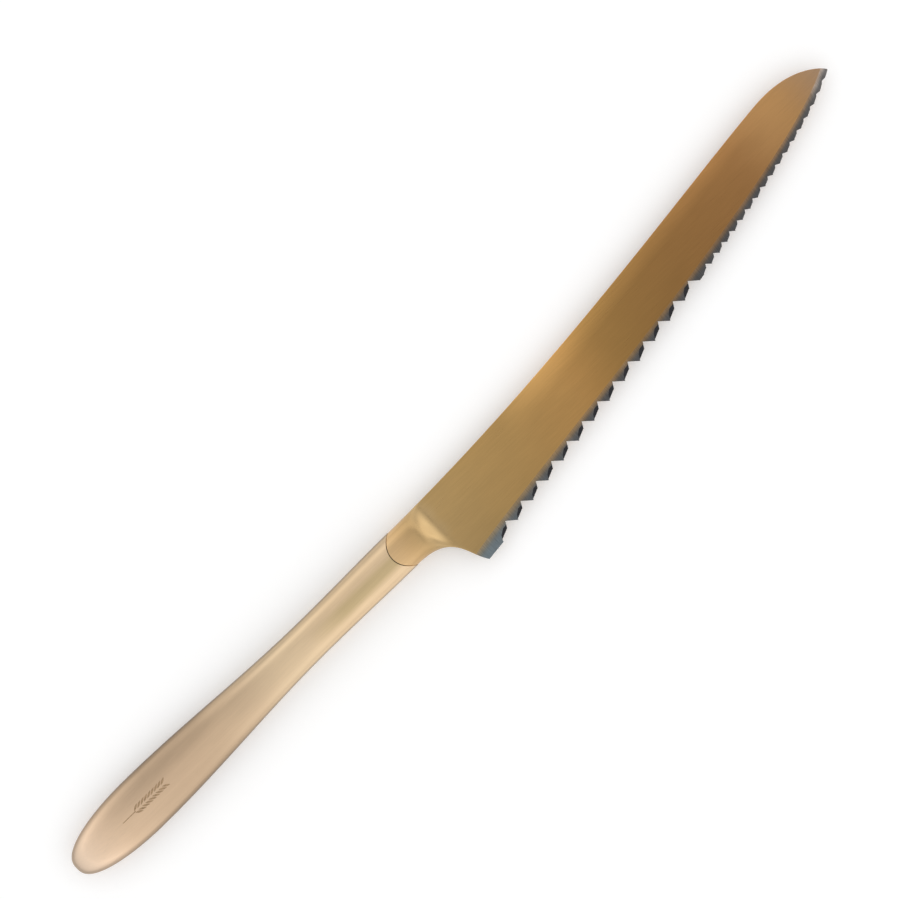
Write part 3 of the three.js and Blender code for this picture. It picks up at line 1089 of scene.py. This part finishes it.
def notch_tool():
    """The cutter of one notch, a pitch long and a depth high; its wall slants through the blade."""
    shoulder = (SHOULDER_AT - 1, SHOULDER_RISE)
    start, end = POINT_AT - 1 + POINT_BLUNTING / 2, POINT_AT - POINT_BLUNTING / 2
    plan = [(start, 0), shoulder, (0, 1), (end, 0), (end, -NOTCH_RUN_OUT), (start, -NOTCH_RUN_OUT)]
    half = (BLADE_THICKNESS / 2 + CUTTER_OVERRUN) * MM
    tool = plate("notch_cutter", plan, -half, half)
    mesh = bmesh.from_edit_mesh(tool.data)
    upper = [v for v in mesh.verts if v.co.z > 0 and abs(v.co.y - shoulder[1]) < 0.01]
    pick(mesh, upper)
    bpy.ops.transform.translate(value=(SCALLOP_SLANT[0], SCALLOP_SLANT[1], 0))
    bpy.ops.mesh.select_all(action="SELECT")
    bpy.ops.mesh.quads_convert_to_tris(quad_method="LONGEST_DIAGONAL")
    end_edit()
    tool.data.materials.append(scallop)
    fair(tool)
    return tool


def notch_cutters():
    """A cutter for each notch, sized to it and leaning with the edge."""
    pattern = notch_tool()
    tools = []
    for at, pitch, depth in teeth():
        edge = height_on(EDGE, at)
        start, end = at - pitch / 2, min(at + pitch / 2, TIP[0])
        rise = height_on(EDGE, end) - height_on(EDGE, start)
        run = end - start
        place = Matrix.Translation(spot(at, edge, 0))
        lie = Matrix.Identity(4)
        lie[0][0] = pitch * MM
        lie[1][0] = pitch * MM * rise / run
        lie[1][1] = depth * MM
        tools.append(placed_copy(pattern, place @ lie))
    bpy.data.objects.remove(pattern)
    return tools


def tang():
    """The tang behind the bolster, drawn down towards its end."""
    root = HANDLE_LENGTH - NOSE_DEPTH + TANG_HOLD
    length = TANG_LENGTH + TANG_HOLD
    middle = spot(root - length / 2, 0, 0)
    deselect_everything()
    bpy.ops.mesh.primitive_cube_add(
        size=MM,
        location=middle,
        scale=(length, TANG_WIDTH, TANG_THICKNESS),
    )
    bar = bpy.context.object
    apply_place(bar)
    begin_edit(bar)
    mesh = bmesh.from_edit_mesh(bar.data)
    pick(mesh, [v for v in mesh.verts if v.co.x < middle.x])
    bpy.ops.transform.resize(value=(1, TANG_END_WIDTH / TANG_WIDTH, 1), center_override=middle)
    end_edit()
    bar.data.materials.append(ground)
    return bar


def make_blade():
    """Blade, bolster and tang in one: drawn out, ground, notched and given its tang."""
    stations = blade_stations()
    sections = [blade_section(x) for x in stations]
    squareness = [blade_squareness(x) for x in stations]
    blade = end_ring("blade_and_bolster", sections[0], BLADE_SIDES, squareness[0])
    draw_out(blade, sections, BLADE_SIDES, squareness)
    end_edit()
    blade.data.materials.append(gold)
    fair(blade)
    cut(blade, nose_tool("nose_former", 0, BLADE_LENGTH + MOUTH_WIDTH, gold), "INTERSECT")
    fair(blade, SHORT_EDGE)
    round_rims(blade)
    fair(blade, SLIVER)
    cut(blade, bevel_cutter())
    notches = notch_cutters()
    # neighbouring notches meet, so they are cut in two turns
    cut(blade, join(notches[0::2]))
    cut(blade, join(notches[1::2]))
    cut(blade, tang(), "UNION")
    fair(blade, SLIVER)
    drop_spare_points(blade)
    smooth(blade, BLADE_CREASE)
    hand_over(blade, "blade")


# ---- Floor, light and camera ----

FLOOR_SIZE = 8
PAPER_GREY = 0.86
PAPER_LIFT = 0.21

# the tent's walls and skirting: heights between which each sets in, and its strength
TENT_GREY = 0.8
TENT_STRENGTH = 0.95
WALLS = (0.86, 0.64, 0.45)
SKIRTING = (0.3, 0.05, -0.5)

# where each soft box or flag stands, its inner and outer angle in degrees and its strength
SOFT_BOXES = (
    ((0.0, 0.5, 0.95), 6, 22, -0.08),
    ((0.7, 0.1, 0.72), 6, 22, -0.35),
    ((0.95, -0.2, 0.26), 4, 14, 2.1),
)

# the lamp: its place and the width and power of its disc
LAMP_AT = Vector((-0.15, -0.5, 1.05))
LAMP_WIDTH = 0.9
LAMP_POWER = 0.35

# the camera: its height, the point under it, the width that it sees and its turn
CAMERA_HEIGHT = 0.95
CAMERA_OVER = (0.00339, 0.01114)
CAMERA_SEES = 0.2704
CAMERA_TURN = 44.458


def make_floor():
    """White paper that keeps the knife's shadow."""
    deselect_everything()
    bpy.ops.mesh.primitive_plane_add(size=FLOOR_SIZE, location=(0, 0, cad_box[0].z))
    floor = bpy.context.object
    floor.name = "floor"
    material, nodes, links, shader, _ = new_material("white_paper")
    shader.inputs["Base Color"].default_value = (PAPER_GREY, PAPER_GREY, PAPER_GREY, 1)
    shader.inputs["Roughness"].default_value = 0.9
    shader.inputs["Specular IOR Level"].default_value = 0.1
    shader.inputs["Emission Color"].default_value = (1, 1, 1, 1)
    path = nodes.new("ShaderNodeLightPath").outputs
    seen = combine(nodes, links, "MAXIMUM", path["Is Camera Ray"], path["Is Glossy Ray"])
    shown = combine(nodes, links, "MAXIMUM", seen, path["Is Transmission Ray"])
    links.new(product(nodes, links, shown, PAPER_LIFT), shader.inputs["Emission Strength"])
    floor.data.materials.append(material)


def soft_fade(nodes, links, value, start, end):
    """A soft rise from 0 to 1 while a value goes from start to end."""
    node = nodes.new("ShaderNodeMapRange")
    node.interpolation_type = "SMOOTHSTEP"
    node.inputs["From Min"].default_value = start
    node.inputs["From Max"].default_value = end
    links.new(value, node.inputs["Value"])
    return node.outputs["Result"]


def soft_patch(nodes, links, direction, aim, inner, outer):
    """How much of a soft box lies in a direction: 1 inside, fading to 0 outside."""
    dot = nodes.new("ShaderNodeVectorMath")
    dot.operation = "DOT_PRODUCT"
    dot.inputs[1].default_value = Vector(aim).normalized()
    links.new(direction, dot.inputs[0])
    start, end = math.cos(math.radians(outer)), math.cos(math.radians(inner))
    return soft_fade(nodes, links, dot.outputs["Value"], start, end)


def weighed(nodes, links, value, weight, total):
    """Adds a weighed value to a running total."""
    node = nodes.new("ShaderNodeMath")
    node.operation = "MULTIPLY_ADD"
    feed(links, value, node.inputs[0])
    feed(links, weight, node.inputs[1])
    feed(links, total, node.inputs[2])
    return node.outputs["Value"]


def tent_strength(nodes, links):
    """Pale walls under a duller top, a dim skirting, two dark flags and one bright soft box."""
    direction = nodes.new("ShaderNodeTexCoord").outputs["Generated"]
    height = axis_of(nodes, links, direction, "Z")
    total = TENT_STRENGTH
    for start, end, strength in (WALLS, SKIRTING):
        total = weighed(nodes, links, soft_fade(nodes, links, height, start, end), strength, total)
    for aim, inner, outer, strength in SOFT_BOXES:
        patch = soft_patch(nodes, links, direction, aim, inner, outer)
        total = weighed(nodes, links, patch, strength, total)
    return total


def make_light():
    """A white tent round the knife, white where the camera sees it, and a soft lamp."""
    world = bpy.data.worlds.new("tent")
    bpy.context.scene.world = world
    world.use_nodes = True
    nodes, links = world.node_tree.nodes, world.node_tree.links
    nodes.clear()
    tent = nodes.new("ShaderNodeBackground")
    tent.inputs["Color"].default_value = (TENT_GREY, TENT_GREY, TENT_GREY, 1)
    links.new(tent_strength(nodes, links), tent.inputs["Strength"])
    backdrop = nodes.new("ShaderNodeBackground")
    backdrop.inputs["Color"].default_value = (1, 1, 1, 1)
    path = nodes.new("ShaderNodeLightPath")
    choice = nodes.new("ShaderNodeMixShader")
    links.new(path.outputs["Is Camera Ray"], choice.inputs["Fac"])
    links.new(tent.outputs["Background"], choice.inputs[1])
    links.new(backdrop.outputs["Background"], choice.inputs[2])
    output = nodes.new("ShaderNodeOutputWorld")
    links.new(choice.outputs["Shader"], output.inputs["Surface"])
    bpy.ops.object.light_add(type="AREA", location=LAMP_AT)
    lamp = bpy.context.object
    lamp.name = "soft_box"
    lamp.data.shape = "DISK"
    lamp.data.size = LAMP_WIDTH
    lamp.data.energy = LAMP_POWER
    lamp.rotation_euler = (-LAMP_AT).to_track_quat("-Z", "Y").to_euler()


def make_camera():
    """Straight above the knife, turned so that the knife runs from lower left to upper right."""
    turn = math.radians(CAMERA_TURN)
    deselect_everything()
    bpy.ops.object.camera_add(location=(*CAMERA_OVER, CAMERA_HEIGHT), rotation=(0, 0, -turn))
    camera = bpy.context.object
    camera.name = "camera"
    camera.data.type = "PERSP"
    camera.data.sensor_width = 36
    camera.data.lens = camera.data.sensor_width * (CAMERA_HEIGHT - MIDDLE_Z) / CAMERA_SEES
    camera.data.dof.use_dof = False
    bpy.context.scene.camera = camera


make_handle()
make_blade()
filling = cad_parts["handle_filling"]
filling.data.materials.clear()
filling.data.materials.append(cement)
make_floor()
make_light()
make_camera()
bpy.context.scene.view_settings.view_transform = "Standard"
